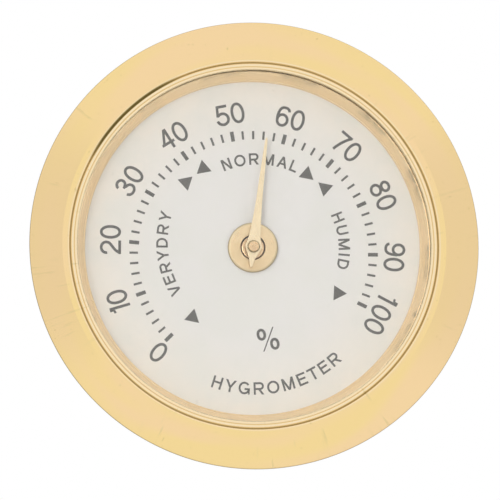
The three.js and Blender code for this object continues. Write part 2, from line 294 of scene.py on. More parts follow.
def flat_triangles(shapes, holes):
    """Triangles without overlaps that cover the shapes and leave every hole open."""
    points, outlines = [], []
    for shape in [*shapes, *holes]:
        outlines.append(list(range(len(points), len(points) + len(shape))))
        points.extend(Vector(p) for p in shape)
    out = delaunay_2d_cdt(points, [], outlines, 0, FLAT_WELD)
    triangles = []
    for triangle, sources in zip(out[2], out[5]):
        if sources and all(source < len(shapes) for source in sources):
            triangles.append(list(triangle))
    return out[0], triangles


def slab(name, shapes, front, back, place=tuple, holes=()):
    """A flat piece between two depths, from polygons in x and z, less the holes."""
    points, triangles = flat_triangles(shapes, holes)
    placed = [place(p) for p in points]
    count = len(placed)
    verts = [(x, front, z) for x, z in placed] + [(x, back, z) for x, z in placed]
    faces = triangles + [[v + count for v in reversed(t)] for t in triangles]
    edges = dict.fromkeys(edge for t in triangles for edge in zip(t, t[1:] + t[:1]))
    for a, b in edges:
        if (b, a) not in edges:
            faces.append([b, a, a + count, b + count])
    return object_from(name, verts, faces)


def circle(radius, x=0.0, z=0.0, steps=SMALL_STEPS):
    offsets = [polar(-360 * k / steps, radius) for k in range(steps)]
    return [(x + dx, z + dz) for dx, dz in offsets]


def round_ended(x0, x1, half, steps=24):
    """A bar along x from x0 to x1 with round ends, both ends included."""
    points = []
    for middle, start in ((x1 - half, -math.pi / 2), (x0 + half, math.pi / 2)):
        for k in range(steps + 1):
            turn = math.pi * k / steps + start
            points.append((middle + half * math.cos(turn), half * math.sin(turn)))
    return points


def turned_shape(points, angle):
    """Flat points turned clockwise by a dial angle."""
    c, s = math.cos(math.radians(angle)), math.sin(math.radians(angle))
    return [(x * c + z * s, -x * s + z * c) for x, z in points]


# ---- Node helpers --------------------------------------------------------------------


def rgb(r, g, b):
    return (r, g, b, 1.0)


class Nodes:
    """A node tree, with short ways to add what the materials and the world use."""

    def __init__(self, tree):
        self.tree = tree
        tree.nodes.clear()

    def add(self, kind, **settings):
        node = self.tree.nodes.new(kind)
        for key, value in settings.items():
            setattr(node, key, value)
        return node

    def put(self, socket, value):
        """Links a socket to an output, or sets its own value."""
        if isinstance(value, bpy.types.NodeSocket):
            self.tree.links.new(value, socket)
        else:
            socket.default_value = value

    def fill(self, node, *values):
        """Puts values into a node's first sockets and gives back its first output."""
        for socket, value in zip(node.inputs, values):
            self.put(socket, value)
        return node.outputs[0]

    def math(self, operation, *values, clamp=False):
        node = self.add("ShaderNodeMath", operation=operation, use_clamp=clamp)
        return self.fill(node, *values)

    def times(self, first, *others):
        for value in others:
            first = self.math("MULTIPLY", first, value)
        return first

    def spread(self, value, low, high, to_low, to_high, curve="SMOOTHSTEP"):
        node = self.add("ShaderNodeMapRange", interpolation_type=curve)
        return self.fill(node, value, low, high, to_low, to_high)

    def rise(self, value, start, end, top=1.0):
        """0 up to the start, the top from the end on, and a soft step between."""
        return self.spread(value, start, end, 0.0, top)

    def fall(self, value, start, end):
        return self.spread(value, start, end, 1.0, 0.0)

    def vary(self, noise, low, high):
        """A value from low to high that follows a noise."""
        return self.spread(noise, 0.3, 0.7, low, high)

    def blend(self, factor, a, b):
        node = self.add("ShaderNodeMix", data_type="RGBA")
        self.put(node.inputs["Factor"], factor)
        self.put(node.inputs[6], a)
        self.put(node.inputs[7], b)
        return node.outputs[2]

    def layered(self, color, *layers):
        """A colour with (share, colour) layers over it."""
        for share, over in layers:
            color = self.blend(share, color, over)
        return color

    def combine(self, x, y, z):
        return self.fill(self.add("ShaderNodeCombineXYZ"), x, y, z)

    def stretched(self, *axes):
        """A vector of three (value, factor) products."""
        return self.combine(*[self.times(value, factor) for value, factor in axes])

    def parts(self, vector):
        node = self.add("ShaderNodeSeparateXYZ")
        self.put(node.inputs[0], vector)
        return node.outputs


class Surface(Nodes):
    """A material. Its place is the place on the piece, in millimetres."""

    SOCKETS = {
        "color": "Base Color",
        "metal": "Metallic",
        "rough": "Roughness",
        "normal": "Normal",
        "ior": "IOR",
        "clear": "Transmission Weight",
        "specular": "Specular IOR Level",
    }

    def __init__(self, name):
        self.material = bpy.data.materials.new(name)
        self.material.use_nodes = True
        super().__init__(self.material.node_tree)
        self.shader = self.add("ShaderNodeBsdfPrincipled")
        self.put(self.add("ShaderNodeOutputMaterial").inputs[0], self.shader.outputs[0])
        scaled = self.add("ShaderNodeVectorMath", operation="SCALE")
        self.put(scaled.inputs["Scale"], 1 / MM)
        self.place = self.fill(scaled, self.add("ShaderNodeTexCoord").outputs["Object"])

    def around(self):
        """Distance from the shaft's line, the cosine and sine round it, and y."""
        x, y, z = self.parts(self.place)
        squares = self.math("ADD", self.times(x, x), self.times(z, z))
        far = self.math("MAXIMUM", self.math("SQRT", squares), 0.01)
        return far, self.math("DIVIDE", z, far), self.math("DIVIDE", x, far), y

    def noise(self, vector, scale=1.0, detail=3.0, rough=0.6):
        node = self.add("ShaderNodeTexNoise")
        self.put(node.inputs["Vector"], vector)
        self.put(node.inputs["Scale"], scale)
        self.put(node.inputs["Detail"], detail)
        self.put(node.inputs["Roughness"], rough)
        return node.outputs["Fac"]

    def bump(self, height, depth, normal=None):
        """A bump of the given depth in millimetres."""
        node = self.add("ShaderNodeBump")
        self.put(node.inputs["Strength"], 1.0)
        self.put(node.inputs["Distance"], depth * MM)
        self.put(node.inputs["Height"], height)
        if normal is not None:
            self.put(node.inputs["Normal"], normal)
        return node.outputs[0]

    def set(self, **values):
        for key, value in values.items():
            self.put(self.shader.inputs[self.SOCKETS[key]], value)
        return self.material


# ---- Materials -----------------------------------------------------------------------


def turned_metal(name, color, stain, rough, painted_light_bands=()):
    """Metal with fine turning rings round its axis, cloudy patches and small pits, and rings of
    painted highlight and painted shade. A band is an inner and outer radius, a strength and a colour."""
    soft = 0.03
    m = Surface(name)
    far, c, s, _ = m.around()
    lines = m.noise(m.stretched((far, 9.0), (c, 0.7), (s, 0.7)), 1.6)
    stained = m.rise(m.noise(m.place, 0.55), 0.42, 0.72, 0.75)
    pits = m.rise(m.noise(m.place, 7.5, 2.0, 0.5), 0.66, 0.76, 0.25)
    mixed = m.blend(m.math("ADD", stained, pits, clamp=True), color, stain)
    for inner, outer, strength, band in painted_light_bands:
        inside = m.rise(far, inner - soft, inner + soft, strength)
        inside = m.times(inside, m.fall(far, outer - soft, outer + soft))
        mixed = m.blend(inside, mixed, band)
    shine = m.math("ADD", m.vary(lines, rough * 0.85, rough * 1.25), m.times(stained, 0.06))
    return m.set(color=mixed, metal=1.0, rough=shine, normal=m.bump(lines, 0.0015))


def polished_gold():
    """Gold plate on the bezel: a mirror with slow waves, radial rub marks and tiny specks, with
    painted shade in the grooves, along one stretch of the outer groove at the upper left, on the
    flange's left and right sides and on its outer edge, and a painted highlight on the beads and
    shoulder."""
    m = Surface("gold_polished")
    far, c, s, y = m.around()
    waves = m.noise(m.stretched((c, 2.4), (s, 2.4), (far, 0.12)), 1.0, 1.0, 0.4)
    tint = m.noise(m.stretched((c, 1.3), (s, 1.3), (far, 0.35)), 1.0, 1.0, 0.4)
    rubs = m.noise(m.stretched((c, 46.0), (s, 46.0), (far, 0.28)), 1.0, 2.0, 0.55)
    where = m.noise(m.combine(m.times(c, 3.0), m.times(s, 3.0), 4.0), 1.0, 1.0, 0.5)
    rub = m.times(m.rise(rubs, 0.60, 0.74), m.rise(where, 0.46, 0.62))
    grain = m.noise(m.place, 14.0, 2.0)
    specks = m.rise(m.noise(m.place, 3.1, 1.0, 0.4), 0.735, 0.79)
    # Painted shade: the flange darker towards its left and right, standing in for the studio's
    # reflection.
    sides = m.times(m.rise(m.math("ABSOLUTE", s), 0.75, 1.0, 0.75), m.rise(far, 19.1, 19.25))
    # The zone inside the shoulder. Its lighter gold is a painted highlight on the beads and shoulder.
    inside = m.fall(far, NECK_R, SHOULDER_R)
    # Painted shade: darker olive gold deep in the grooves inside the shoulder.
    sunk = m.times(m.rise(y, -1.33, -1.2, 0.6), m.fall(y, -1.14, -1.1), inside)
    upper_left = m.math("SUBTRACT", m.times(c, 0.72), m.times(s, 0.69))
    outer_groove = m.times(m.rise(far, 18.2, 18.3), m.fall(far, 18.52, 18.6))
    # Painted shade: the outer groove drawn darker along a stretch at the upper left.
    painted_upper_left_groove_shade = m.times(m.rise(upper_left, 0.93, 0.985, 0.8), outer_groove)
    # Painted shade: darker gold on the flange's outer edge, which is also made a little rougher.
    rim = m.times(m.rise(far, 22.44, 22.49, 0.2), m.rise(y, -1.42, -1.35))
    gold = m.layered(
        m.blend(m.rise(tint, 0.36, 0.64), rgb(0.905, 0.665, 0.37), rgb(0.90, 0.685, 0.32)),
        (sides, rgb(0.80, 0.59, 0.32)),
        (inside, rgb(0.93, 0.76, 0.50)),
        (m.times(rub, 0.55), rgb(0.70, 0.56, 0.28)),
        (m.times(specks, 0.3), rgb(0.55, 0.40, 0.17)),
        (painted_upper_left_groove_shade, rgb(0.30, 0.25, 0.10)),
        (sunk, rgb(0.42, 0.37, 0.22)),
        (rim, rgb(0.55, 0.42, 0.20)),
    )
    shine = m.math("ADD", m.vary(grain, 0.13, 0.2), m.times(rub, 0.1))
    shine = m.math("ADD", shine, m.times(rim, 0.15))
    normal = m.bump(grain, 0.00025, m.bump(rub, 0.0006, m.bump(waves, 0.05)))
    return m.set(color=gold, metal=1.0, rough=shine, normal=normal)


def satin_gold(name, color, worn):
    """Satin gold plate on the inner ring and the case: fine rings and a soft mottle."""
    m = Surface(name)
    far, c, s, y = m.around()
    length = m.math("ADD", m.times(s, 1.2), m.times(y, 11.0))
    lines = m.noise(m.combine(m.times(far, 14.0), m.times(c, 1.2), length))
    patch = m.rise(m.noise(m.place, 0.35), 0.38, 0.66, 0.7)
    scuffs = m.noise(m.place, 2.2, 4.0, 0.7)
    scuffed = m.rise(scuffs, 0.62, 0.78, 0.3)
    gold = m.layered(color, (patch, worn), (scuffed, rgb(0.80, 0.61, 0.36)))
    shine = m.math("ADD", m.vary(lines, 0.18, 0.28), m.times(patch, 0.05))
    normal = m.bump(scuffs, 0.0008, m.bump(lines, 0.0015))
    return m.set(color=gold, metal=1.0, rough=shine, normal=normal)


def clear_lens():
    """Clear glass with faint wipe marks."""
    m = Surface("lens_clear")
    shine = m.rise(m.noise(m.place, 0.22, 4.0, 0.65), 0.5, 0.8, 0.03)
    return m.set(color=rgb(0.985, 0.99, 0.982), rough=shine, ior=1.5, clear=1.0)


def dial_paint():
    """Matt off-white lacquer: a soft mottle, fine orange peel, rare dust specks and painted warm light
    towards the rim.
    """
    m = Surface("dial_white")
    far = m.around()[0]
    mottle = m.noise(m.place, 0.28, 3.0, 0.55)
    fine = m.noise(m.place, 3.4)
    dust = m.rise(m.noise(m.place, 2.6, 1.0, 0.4), 0.74, 0.79, 0.25)
    paint = m.layered(
        rgb(0.80, 0.768, 0.752),
        # Painted light: warmer, lighter paint towards the rim, standing in for light reflected from
        # the gold walls.
        (m.rise(far, 8.0, 17.0), rgb(0.875, 0.80, 0.715)),
        (m.rise(mottle, 0.35, 0.7, 0.5), rgb(0.765, 0.75, 0.70)),
        (m.vary(fine, 0.0, 0.22), rgb(0.73, 0.715, 0.67)),
        (dust, rgb(0.62, 0.58, 0.5)),
    )
    shine = m.vary(fine, 0.48, 0.6)
    return m.set(color=paint, rough=shine, specular=0.35, normal=m.bump(fine, 0.004))


def printed_ink():
    """Dark grey printed ink, a little uneven in cover."""
    m = Surface("dial_ink")
    cover = m.noise(m.place, 6.0)
    thin = m.rise(cover, 0.35, 0.7)
    ink = m.blend(thin, rgb(0.088, 0.082, 0.074), rgb(0.125, 0.116, 0.104))
    shine = m.vary(cover, 0.42, 0.55)
    return m.set(color=ink, rough=shine, specular=0.4, normal=m.bump(cover, 0.002))


def pointer_gilt():
    """Pale gilt blade, brushed along its length, with small dull spots."""
    m = Surface("pointer_brass")
    turned = m.add("ShaderNodeVectorRotate", rotation_type="Y_AXIS")
    m.put(turned.inputs["Vector"], m.place)
    m.put(turned.inputs["Angle"], math.radians(POINTER_REST))
    x, _, z = m.parts(turned.outputs[0])
    strokes = m.noise(m.combine(m.times(x, 26.0), 0.0, m.times(z, 0.8)), 1.0, 2.0)
    dull = m.rise(m.noise(m.place, 3.0), 0.52, 0.74, 0.5)
    gilt = m.blend(dull, rgb(0.86, 0.70, 0.47), rgb(0.78, 0.61, 0.38))
    shine = m.vary(strokes, 0.24, 0.38)
    return m.set(color=gilt, metal=1.0, rough=shine, normal=m.bump(strokes, 0.0012))


def brushed_steel():
    """Bright zinc-plated sheet: long brushed strokes, faint bluish and yellowish bloom."""
    m = Surface("steel")
    x, y, z = m.parts(m.place)
    strokes = m.noise(m.stretched((x, 0.7), (y, 9.0), (z, 15.0)))
    bloom = m.rise(m.noise(m.place, 0.4), 0.35, 0.7)
    worn = m.rise(strokes, 0.6, 0.8, 0.35)
    bluish, yellowish = rgb(0.56, 0.575, 0.60), rgb(0.60, 0.58, 0.52)
    metal = m.layered(bluish, (bloom, yellowish), (worn, rgb(0.36, 0.36, 0.37)))
    shine = m.vary(strokes, 0.26, 0.4)
    return m.set(color=metal, metal=1.0, rough=shine, normal=m.bump(strokes, 0.0015))


def strip_side(name, color, worn, rough, depth, **others):
    """One side of the coil's strip, rolled along its length."""
    m = Surface(name)
    x, y, z = m.parts(m.place)
    rolled = m.noise(m.stretched((x, 0.5), (y, 12.0), (z, 0.5)))
    tone = m.blend(m.rise(m.noise(m.place, 0.9), 0.4, 0.7, 0.8), color, worn)
    return m.set(color=tone, rough=m.vary(rolled, *rough), normal=m.bump(rolled, depth), **others)


def bronze_side():
    color, worn = rgb(0.62, 0.38, 0.18), rgb(0.48, 0.27, 0.12)
    return strip_side("coil_strip", color, worn, (0.28, 0.42), 0.002, metal=1.0)


def moist_side():
    color, worn = rgb(0.24, 0.145, 0.07), rgb(0.30, 0.19, 0.10)
    return strip_side("coil_layer", color, worn, (0.5, 0.66), 0.003, specular=0.45)


def eyelet_brass():
    # Painted highlight: a paler ring on the eyelet's rim bevel. Painted shade: a dark brown ring on
    # its outer edge.
    painted_light_bands = [(2.28, 2.42, 0.5, rgb(0.76, 0.64, 0.40)), (2.44, 2.6, 0.8, rgb(0.34, 0.25, 0.12))]
    return turned_metal("brass", rgb(0.80, 0.61, 0.375), rgb(0.71, 0.52, 0.29), 0.3, painted_light_bands)


def pin_brass():
    # Painted shade: a dark olive ring on the pin's edge, where it meets the pointer's hole.
    painted_light_bands = [(0.51, 0.64, 0.85, rgb(0.33, 0.27, 0.12))]
    return turned_metal("pin_brass", rgb(0.79, 0.56, 0.33), rgb(0.68, 0.46, 0.27), 0.26, painted_light_bands)


MATERIALS = {
    "gold_polished": polished_gold(),
    "gold_satin": satin_gold("gold_satin", rgb(0.99, 0.77, 0.48), rgb(0.96, 0.73, 0.42)),
    "lens_clear": clear_lens(),
    "dial_white": dial_paint(),
    "dial_ink": printed_ink(),
    "brass": eyelet_brass(),
    "pin_brass": pin_brass(),
    "pointer_brass": pointer_gilt(),
    "steel": brushed_steel(),
    "aluminium": turned_metal("aluminium", rgb(0.62, 0.63, 0.64), rgb(0.50, 0.50, 0.51), 0.34),
    "coil_strip": bronze_side(),
}
COIL_LAYER = moist_side()
CASE_GOLD = satin_gold("gold_satin_case", rgb(0.90, 0.64, 0.35), rgb(0.82, 0.56, 0.29))


def finish_piece(obj, body, slot, *nodes):
    """Gives a piece its material and its body, and hides the CAD nodes it stands for."""
    obj.data.materials.clear()
    obj.data.materials.append(MATERIALS[slot])
    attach(obj, body)
    if nodes:
        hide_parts(*nodes)
    return obj


def turned_piece(node, corners, body, slot, steps=SMALL_STEPS, arc=6, name=None, tools=(), **more):
    """A finished piece that is turned from profile corners, cut with the tools, and stands
    for one CAD node. More settings go to the lathe."""
    obj = lathe(name or node + "_turned", rounded(corners, arc), steps, **more)
    if tools:
        cut(obj, tools)
    return finish_piece(obj, body, slot, node)


def ring_corners(node, bore, *fillets):
    """Profile corners of a plain ring, or of a disc when its bore is 0."""
    front, back, r = turned_size(node)
    corners = [(bore, front), (r, front), (r, back), (bore, back)]
    return [(*corner, fillet) for corner, fillet in zip(corners, fillets)]


# ---- Bezel, lens and rings -----------------------------------------------------------


def bead(left, top, right, steps=7):
    """Profile corners of a rounded bead between two sharp grooves, each (radius, y). The
    first groove's own point is left out."""
    points = []
    for start, end, rising in ((left, top, True), (top, right, False)):
        for k in range(1, steps + 1):
            t = k / steps
            height = math.sin(math.pi / 2 * t) if rising else 1 - math.cos(math.pi / 2 * t)
            y = start[1] + (end[1] - start[1]) * height
            points.append((start[0] + (end[0] - start[0]) * t, y, 0))
    return points


def make_bezel():
    front, back, outer = turned_size("bezel")
    case_front = turned_size("rear_case")[0]
    lip_back = turned_size("lens")[0] - 0.02
    case_room_r = 19.1
    top = front + BEAD_TOP
    grooves = [(LIP_R, top + 0.14), (17.97, top + 0.1), (18.38, front + GROOVE_FLOOR)]
    corners = [(LIP_R, lip_back, 0.02), (*grooves[0], 0)]
    corners += bead(grooves[0], (17.79, top), grooves[1])
    corners += bead(grooves[1], (18.14, top), grooves[2])
    corners += [
        (NECK_R, front + 0.1, 0.04), (SHOULDER_R, front + 0.025, 0.1),
        (FLANGE_FROM_R, front, 0.4), (outer, front, FLANGE_EDGE),
        (outer - BACK_SLANT, 0, 0.1), (case_room_r, 0, 0.05),
        (case_room_r, case_front, 0.05), (NECK_R, case_front, 0.05), (NECK_R, back, 0.08),
        (NECK_BORE_R, back, 0.08), (NECK_BORE_R, lip_back, 0.03),
    ]
    return turned_piece("bezel", corners, "case", "gold_polished", ROUND_STEPS, 8, sharp=50)


def make_lens():
    corners = ring_corners("lens", 0, 0, 0.12, 0.12, 0)
    obj = turned_piece("lens", corners, "case", "lens_clear", ROUND_STEPS, 4, "lens_pane")
    obj.visible_shadow = False
    return obj


def make_inner_ring():
    front, back, r = turned_size("inner_ring")
    mouth, foot = 17.58, 16.75
    corners = [
        (mouth, front, 0.06), (r, front, 0.05), (r, back, 0.05), (foot, back, 0.04),
        (foot + 0.11, back - 0.16, 0.05), (foot + 0.18, back - 0.2, 0.04),
    ]
    return turned_piece("inner_ring", corners, "case", "gold_satin", ROUND_STEPS, 5, "inner_ring_cone")


def make_spacer():
    """A ring with a wide shallow channel in its bore."""
    front, back, r = turned_size("spacer_ring")
    bore, channel = 17, 17.15
    corners = [
        (bore, front, 0.1), (r, front, 0.1), (r, back, 0.1), (bore, back, 0.1),
        (bore, back - 2.2, 0), (channel, back - 2.35, 0.05), (channel, front + 2.35, 0.05),
        (bore, front + 2.2, 0),
    ]
    name = "spacer_turned"
    return turned_piece("spacer_ring", corners, "case", "aluminium", ROUND_STEPS, name=name)


# ---- Dial and its print --------------------------------------------------------------


def make_dial():
    corners = ring_corners("dial", DIAL_HOLE_R, 0.03, 0.06, 0.04, 0.03)
    return turned_piece("dial", corners, "case", "dial_white", ROUND_STEPS, name="dial_disc")


OVAL_STEP = 7.5  # degrees


def oval(cx, cy, rx, ry, start=0.0, end=360.0, power=2.0):
    """Points on an oval, counter-clockwise for a rising angle; a power over 2 squares it."""
    steps = max(6, int(abs(end - start) / OVAL_STEP))
    points = []
    for k in range(steps + 1):
        turn = math.radians(start + (end - start) * k / steps)
        c, s = math.cos(turn), math.sin(turn)
        x = math.copysign(abs(c) ** (2 / power), c)
        y = math.copysign(abs(s) ** (2 / power), s)
        points.append((cx + rx * x, cy + ry * y))
    return points


def curve(p0, p1, p2, p3, steps=14):
    """Points on a cubic curve, without its first point."""
    points = []
    for k in range(1, steps + 1):
        t = k / steps
        u = 1 - t
        weights = (u * u * u, 3 * u * u * t, 3 * u * t * t, t * t * t)
        pairs = list(zip(weights, (p0, p1, p2, p3)))
        points.append(tuple(sum(w * p[axis] for w, p in pairs) for axis in (0, 1)))
    return points


def direction(start, end):
    """The direction from one point to another, or None where there is none."""
    if start is None or end is None:
        return None
    way = Vector((end[0] - start[0], end[1] - start[1]))
    return way.normalized() if way.length > 1e-9 else None


def ribbon(points, width):
    """A stroke of even width along a line, as one quad for each step. A closed line ends
    on its first point."""
    last = len(points) - 1
    closed = points[0] == points[-1]
    left, right = [], []
    for i, point in enumerate(points):
        before = points[i - 1] if i else (points[-2] if closed else None)
        after = points[i + 1] if i < last else None
        came, goes = direction(before, point), direction(point, after)
        along = ((came or goes) + (goes or came)).normalized()
        reach = width / 2
        if came and goes:
            reach /= max(0.7, along.dot(goes))
        side = Vector((-along.y, along.x)) * reach
        left.append((point[0] + side.x, point[1] + side.y))
        right.append((point[0] - side.x, point[1] - side.y))
    return [[right[i], right[i + 1], left[i + 1], left[i]] for i in range(last)]


def slanted(x0, y0, x1, y1, width):
    """A straight stroke with level ends, between the middles of its two ends."""
    half = width * math.hypot(x1 - x0, y1 - y0) / abs(y1 - y0) / 2
    if y0 > y1:
        x0, y0, x1, y1 = x1, y1, x0, y0
    return [[(x0 - half, y0), (x0 + half, y0), (x1 + half, y1), (x1 - half, y1)]]


def block(x0, y0, x1, y1):
    return [[(x0, y0), (x1, y0), (x1, y1), (x0, y1)]]


def digit_shapes(mark, w, h, s):
    """A digit's flat polygons, in a box w wide and h tall, with strokes s wide."""
    a = s / 2
    mid = w / 2
    if mark == "0":
        return ribbon(oval(mid, h / 2, mid - a, h / 2 - a, power=2.12), s)
    if mark == "1":
        flag = [(0, 0.775 * h), (0.3 * w, 0.79 * h)]
        flag += curve(flag[-1], (0.5 * w, 0.81 * h), (0.62 * w, 0.87 * h), (w - 1.2 * s, h), 8)
        tip = block(w - 1.45 * s, 0.93 * h, w - s, h)
        return block(w - s, 0, w, h) + ribbon(flag, 0.8 * s) + tip
    if mark == "2":
        top = oval(0.49 * w, 0.7 * h, 0.49 * w - a, 0.3 * h - a, 192, -14)
        foot = (a + 0.04 * w, 0.5 * a)
        low = curve(top[-1], (0.88 * w, 0.46 * h), (0.12 * w, 0.33 * h), foot)
        return ribbon(top + low, s) + block(0, 0, w, s)
    if mark == "3":
        top = oval(0.48 * w, 0.745 * h, 0.44 * w - a, 0.255 * h - a, 176, -90)
        low = oval(0.5 * w, 0.275 * h, 0.5 * w - a, 0.275 * h - a + 0.01, 90, -178)
        waist = block(0.34 * w, 0.535 * h - a, 0.5 * w, 0.535 * h + a)
        return ribbon(top, s) + ribbon(low, s) + waist
    if mark == "4":
        stem = 0.74 * w
        bar = 0.315 * h
        slope = slanted(stem - 0.04 * w, h, a * 1.1, bar - a, 0.92 * s)
        return block(stem - a, 0, stem + a, h) + block(0, bar - a, w, bar + a) + slope
    if mark == "5":
        top = block(0.14 * w, h - s, 0.92 * w, h)
        side = slanted(0.14 * w + a, h, 0.05 * w + a, 0.46 * h, 0.95 * s)
        bowl = oval(0.49 * w, 0.33 * h, 0.51 * w - a, 0.33 * h - a, 146, -168)
        return top + side + ribbon(bowl, s)
    if mark == "6":
        bowl = ribbon(oval(0.51 * w, 0.325 * h, 0.49 * w - a, 0.325 * h - a), s)
        back = [(a, 0.36 * h)]
        back += curve(back[0], (a - 0.02, 0.78 * h), (0.22 * w, h - a), (0.54 * w, h - a))
        tip = (0.91 * w, 0.77 * h)
        back += curve(back[-1], (0.74 * w, h - a), (0.88 * w, 0.9 * h), tip, 10)
        return bowl + ribbon(back, s)
    if mark == "7":
        fall = [(w - 1.1 * a, h - a)]
        fall += curve(fall[0], (0.68 * w, 0.72 * h), (0.42 * w, 0.36 * h), (0.36 * w, 0))
        return block(0, h - s, w, h) + ribbon(fall, s)
    if mark == "8":
        top = oval(mid, 0.755 * h, 0.45 * w - a, 0.245 * h - a)
        low = oval(mid, 0.28 * h, 0.5 * w - a, 0.28 * h - a + 0.015)
        return ribbon(top, s) + ribbon(low, s)
    # a 9 is a 6 turned half round
    return [[(w - x, h - y) for x, y in shape] for shape in digit_shapes("6", w, h, s)]


# Each letter's own width and the room it takes along its line, per height. An I is as
# wide as its stroke.
LETTERS = {
    "A": (0.89, 0.93), "D": (0.83, 1.0), "E": (0.74, 0.93), "G": (0.92, 1.08),
    "H": (0.79, 1.0), "I": (0.0, 0.39), "L": (0.64, 0.77), "M": (0.96, 1.16),
    "N": (0.79, 1.0), "O": (0.98, 1.08), "R": (0.83, 1.0), "T": (0.81, 0.85),
    "U": (0.79, 1.0), "V": (0.87, 0.93), "Y": (0.89, 0.93),
}


def letter_shapes(mark, w, h, s):
    """A capital letter's flat polygons, in a box w wide and h tall."""
    a = s / 2
    mid = w / 2
    stem = block(0, 0, s, h)
    stems = stem + block(w - s, 0, w, h)

    def legs(inset, outer_y, middle_y):
        """Two slanted strokes that meet in the letter's middle."""
        left = slanted(inset * a, outer_y, mid, middle_y, s)
        return left + slanted(w - inset * a, outer_y, mid, middle_y, s)

    if mark == "A":
        return legs(1.05, 0, h) + block(0.2 * w, 0.27 * h, 0.8 * w, 0.27 * h + 0.9 * s)
    if mark == "D":
        bowl = [(a, h - a), (0.42 * w, h - a)]
        bowl += oval(0.42 * w, h / 2, 0.58 * w - a, h / 2 - a, 90, -90, 2.1)
        return stem + ribbon(bowl + [(a, a)], s)
    if mark == "E":
        bars = block(0, h - s, w, h) + block(0, 0, w * 1.02, s)
        return stem + bars + block(0, 0.53 * h - a, 0.93 * w, 0.53 * h + a)
    if mark == "G":
        arc = oval(mid, h / 2, mid - a, h / 2 - a + 0.01, 36, 342, 2.05)
        bar = block(0.53 * w, 0.5 * h - s, w, 0.5 * h)
        return ribbon(arc, s) + bar + block(w - 0.8 * s, 0, w, 0.5 * h)
    if mark == "H":
        return stems + block(0, 0.53 * h - a, w, 0.53 * h + a)
    if mark == "I":
        return stem
    if mark == "L":
        return stem + block(0, 0, w, s)
    if mark == "M":
        return stems + legs(1.15, h, 0)
    if mark == "N":
        return stems + slanted(a * 1.15, h, w - a * 1.15, 0, s)
    if mark == "O":
        return ribbon(oval(mid, h / 2, mid - a, h / 2 - a + 0.015, power=2.05), s)
    if mark == "R":
        low = 0.45 * h
        bowl = [(a, h - a), (0.62 * w, h - a)]
        bowl += oval(0.62 * w, (h - a + low) / 2, 0.34 * w - a * 0.6, (h - a - low) / 2, 90, -90)
        return stem + ribbon(bowl + [(a, low)], s) + slanted(0.52 * w, low, w - a * 1.1, 0, s)
    if mark == "T":
        return block(0, h - s, w, h) + block(mid - a, 0, mid + a, h)
    if mark == "U":
        cup = oval(mid, 0.36 * h, mid - a, 0.36 * h - a, 180, 360)
        return ribbon([(a, h)] + cup + [(w - a, h)], s)
    if mark == "V":
        return legs(1.05, h, 0)
    return legs(1.1, h, 0.4 * h) + block(mid - a, 0, mid + a, 0.44 * h)


def on_dial(shape, angle, radius, twist=0.0, inward=False):
    """Moves a flat shape round its own middle to a dial angle and radius."""
    turn = angle + twist + (180 if inward else 0)
    x, z = polar(angle, radius)
    return [(x + px, z + pz) for px, pz in turned_shape(shape, turn)]


def printed(point):
    """Where a point of the print lies on the dial, with the print's own small error."""
    x, z = turned_shape([point], PRINT_TURN)[0]
    return x + PRINT_RIGHT, z + PRINT_UP


def make_print(name, shapes):
    face = turned_size("dial")[0]
    obj = slab("print_" + name, shapes, face - INK_THICK, face + INK_THICK, printed)
    return finish_piece(obj, "case", "dial_ink")


SCALE_R = 12.0
SCALE_FROM = -125.0
SCALE_SWEEP = 250.0
TICK_COUNT = 51
TICKS_PER_NUMBER = 5
TICK_SIZE = (0.22, 0.84)
NUMBER_TICK_SIZE = (0.37, 1.0)

NUMBER_HEIGHT = 2.12
NUMBER_STROKE = 0.276
NUMBER_WIDTHS = {"1": 0.64, "3": 1.32, "6": 1.32, "8": 1.32, "9": 1.32}
NUMBER_WIDTH = 1.37
# text, dial angle, radius, distance between digit middles, twist
NUMBERS = [
    ("0", -126.3, 13.80, 0.0, -4.0),
    ("10", -100.5, 14.42, 1.20, 3.5),
    ("20", -74.8, 14.38, 1.54, -5.0),
    ("30", -49.7, 14.38, 1.55, 1.5),
    ("40", -24.2, 14.33, 1.58, 2.0),
    ("50", 0.6, 14.28, 1.555, -2.4),
    ("60", 25.3, 14.24, 1.55, -0.5),
    ("70", 51.0, 14.42, 1.50, 0.0),
    ("80", 75.3, 14.40, 1.54, 1.0),
    ("90", 100.9, 14.16, 1.51, 3.3),
    ("100", 124.6, 14.07, 1.55, 3.1),
]

# text, height, first and last letter's angle, radius at the start, middle and end, inward
WORDS = [
    ("NORMAL", 1.16, -6.6, 34.8, 9.39, 9.62, 9.79, False),
    ("VERYDRY", 1.16, -105.3, -57.4, 8.76, 9.09, 9.56, False),
    ("HUMID", 1.16, 76.3, 106.3, 9.28, 9.19, 9.03, False),
    ("HYGROMETER", 1.24, -154.2, -207.3, 13.48, 13.52, 13.26, True),
]
WORD_STROKE = 0.2

ARROW_R = 0.88  # from an arrowhead's middle to its corners
# dial angle, radius, which way its tip points as a dial angle
ARROWS = [
    (-126.4, 8.88, 141.7),
    (-33.4, 9.84, 57.9),
    (-20.3, 9.94, -121.0),
    (43.7, 9.72, 141.0),
    (57.1, 9.84, -38.9),
    (124.7, 9.33, -137.2),
]

PERCENT_STROKE = 0.27
PERCENT_OVAL = (0.94, 1.20)
PERCENT_OVALS = [(-0.675, -8.15), (0.5, -9.27)]
PERCENT_SLASH = (-0.72, -9.86, 0.6, -7.56)
PERCENT_SLASH_WIDTH = 0.125


def centred(shapes, width, height, shift=0.0):
    return [[(x - width / 2 + shift, y - height / 2) for x, y in shape] for shape in shapes]


